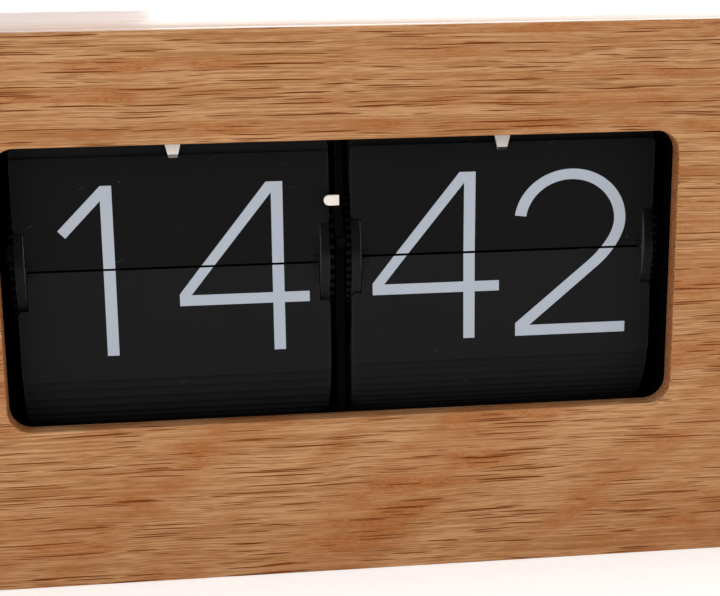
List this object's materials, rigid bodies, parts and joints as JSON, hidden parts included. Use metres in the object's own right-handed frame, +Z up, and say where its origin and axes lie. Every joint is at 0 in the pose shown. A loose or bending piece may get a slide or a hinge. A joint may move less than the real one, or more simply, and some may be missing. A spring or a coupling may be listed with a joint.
{
  "type": "flip clock",
  "caption": "Long oak box clock with black flap displays for hours and minutes behind a wide window, turned by a battery drive through a gear train.",
  "frame": {"origin": "middle of the underside of the case", "axes": "+X to the right seen from the front, +Y from the front to the back, +Z up"},
  "size_m": [0.36, 0.085, 0.16],
  "materials": {
    "oak": "satin oak veneer",
    "plain_wood": "raw",
    "moulded_black": "fine grained",
    "frame_black": "matte",
    "drum_black": "satin",
    "flap_black": "matte",
    "steel": "bright",
    "contact_metal": "nickel plated",
    "cell_jacket": "gloss",
    "lead_jacket": "satin",
    "cream_plastic": "satin",
    "gear_plastic": "satin",
    "setting_grey": "satin",
    "drive_white": "matte",
    "copper_wire": "enamelled",
    "board_green": "solder resist"
  },
  "bodies": {
    "movement_and_case": {"case_front_panel": "oak", "case_top_board": "oak", "case_bottom_board": "oak", "case_left_board": "oak", "case_right_board": "oak", "case_corner_blocks": "plain_wood", "rear_cover": "moulded_black", "rear_cover_screws": "steel", "battery_tray": "moulded_black", "battery_cell": "cell_jacket", "battery_contacts": "contact_metal", "battery_leads": "lead_jacket", "base_plate": "frame_black", "base_screws": "steel", "left_plate": "frame_black", "centre_plate": "frame_black", "right_plate": "frame_black", "tie_rods": "steel", "top_rail": "frame_black", "hour_stop_tab": "cream_plastic", "minute_stop_tab": "cream_plastic", "drum_shaft": "steel", "lever_pivot_pin": "steel", "lever_spring_wire": "steel", "hour_flap_pack": "flap_black", "hour_upper_flap": "flap_black", "minute_flap_pack": "flap_black", "minute_upper_flap": "flap_black", "gear_studs": "steel", "setting_stud": "steel", "drive_housing": "drive_white", "drive_cover": "drive_white", "drive_coil": "copper_wire", "drive_circuit_board": "board_green", "drive_standoffs": "steel", "drive_cover_screws": "steel"},
    "minute_drum": {"minute_drum_left_wheel": "drum_black", "minute_drum_right_wheel": "drum_black", "minute_drum_core": "drum_black", "minute_gear": "gear_plastic", "minute_pinion": "gear_plastic"},
    "hour_drum": {"hour_drum_left_wheel": "drum_black", "hour_drum_right_wheel": "drum_black", "hour_drum_core": "drum_black", "hour_gear": "gear_plastic"},
    "idler": {"idler_gear": "gear_plastic"},
    "layshaft": {"layshaft": "steel", "layshaft_gear": "gear_plastic", "layshaft_pinion": "gear_plastic"},
    "reduction": {"reduction_gear": "gear_plastic"},
    "drive_output": {"drive_pinion": "gear_plastic"},
    "setting": {"setting_wheel": "setting_grey"},
    "minute_falling_flap": {"minute_lower_flap": "flap_black"},
    "hour_falling_flap": {"hour_lower_flap": "flap_black"},
    "hour_release": {"release_lever": "drum_black", "release_lever_tip": "cream_plastic"},
    "battery_bay_door": {"battery_door": "moulded_black"}
  },
  "joints": [
    {"name": "minute_drum_spin", "type": "hinge", "parent": "movement_and_case", "child": "minute_drum", "pos_m": [0, -0.0074, 0.09285], "axis": [1, 0, 0], "continuous": true, "deforming": ["minute_flap_pack"]},
    {"name": "hour_drum_spin", "type": "hinge", "parent": "movement_and_case", "child": "hour_drum", "pos_m": [0, -0.0074, 0.09285], "axis": [1, 0, 0], "continuous": true, "deforming": ["hour_flap_pack"]},
    {"name": "idler_spin", "type": "hinge", "parent": "movement_and_case", "child": "idler", "pos_m": [0, -0.00663, 0.05926], "axis": [1, 0, 0], "continuous": true},
    {"name": "layshaft_spin", "type": "hinge", "parent": "movement_and_case", "child": "layshaft", "pos_m": [0, 0.01072, 0.03048], "axis": [1, 0, 0], "continuous": true},
    {"name": "reduction_spin", "type": "hinge", "parent": "movement_and_case", "child": "reduction", "pos_m": [0, -0.00301, 0.06115], "axis": [1, 0, 0], "continuous": true},
    {"name": "drive_pinion_spin", "type": "hinge", "parent": "movement_and_case", "child": "drive_output", "pos_m": [0, 0.00005, 0.12067], "axis": [1, 0, 0], "continuous": true},
    {"name": "setting_wheel_spin", "type": "hinge", "parent": "movement_and_case", "child": "setting", "pos_m": [0, 0.023, 0.09285], "axis": [1, 0, 0], "continuous": true},
    {"name": "minute_flap_fall", "type": "hinge", "parent": "movement_and_case", "child": "minute_falling_flap", "pos_m": [0.048, -0.03037, 0.09165], "axis": [-1, 0, 0], "range_deg": [0, 160]},
    {"name": "hour_flap_fall", "type": "hinge", "parent": "movement_and_case", "child": "hour_falling_flap", "pos_m": [-0.048, -0.03022, 0.09], "axis": [-1, 0, 0], "range_deg": [0, 160]},
    {"name": "hour_release_swing", "type": "hinge", "parent": "movement_and_case", "child": "hour_release", "pos_m": [0, -0.0329, 0.09805], "axis": [0, 1, 0], "range_deg": [0, 10], "stiffness_Nm_per_rad": 0.001, "springref_deg": -2.86},
    {"name": "battery_door_tilt", "type": "hinge", "parent": "movement_and_case", "child": "battery_bay_door", "pos_m": [-0.146, 0.037, 0.04505], "axis": [-1, 0, 0], "range_deg": [0, 100]}
  ],
  "couplings": [
    {"joint": "hour_drum_spin", "follows": "minute_drum_spin", "ratio": 0.041667},
    {"joint": "idler_spin", "follows": "minute_drum_spin", "ratio": -0.4},
    {"joint": "layshaft_spin", "follows": "minute_drum_spin", "ratio": 1},
    {"joint": "reduction_spin", "follows": "minute_drum_spin", "ratio": -0.16667},
    {"joint": "drive_pinion_spin", "follows": "minute_drum_spin", "ratio": -5},
    {"joint": "setting_wheel_spin", "follows": "minute_drum_spin", "ratio": -3.75}
  ]
}
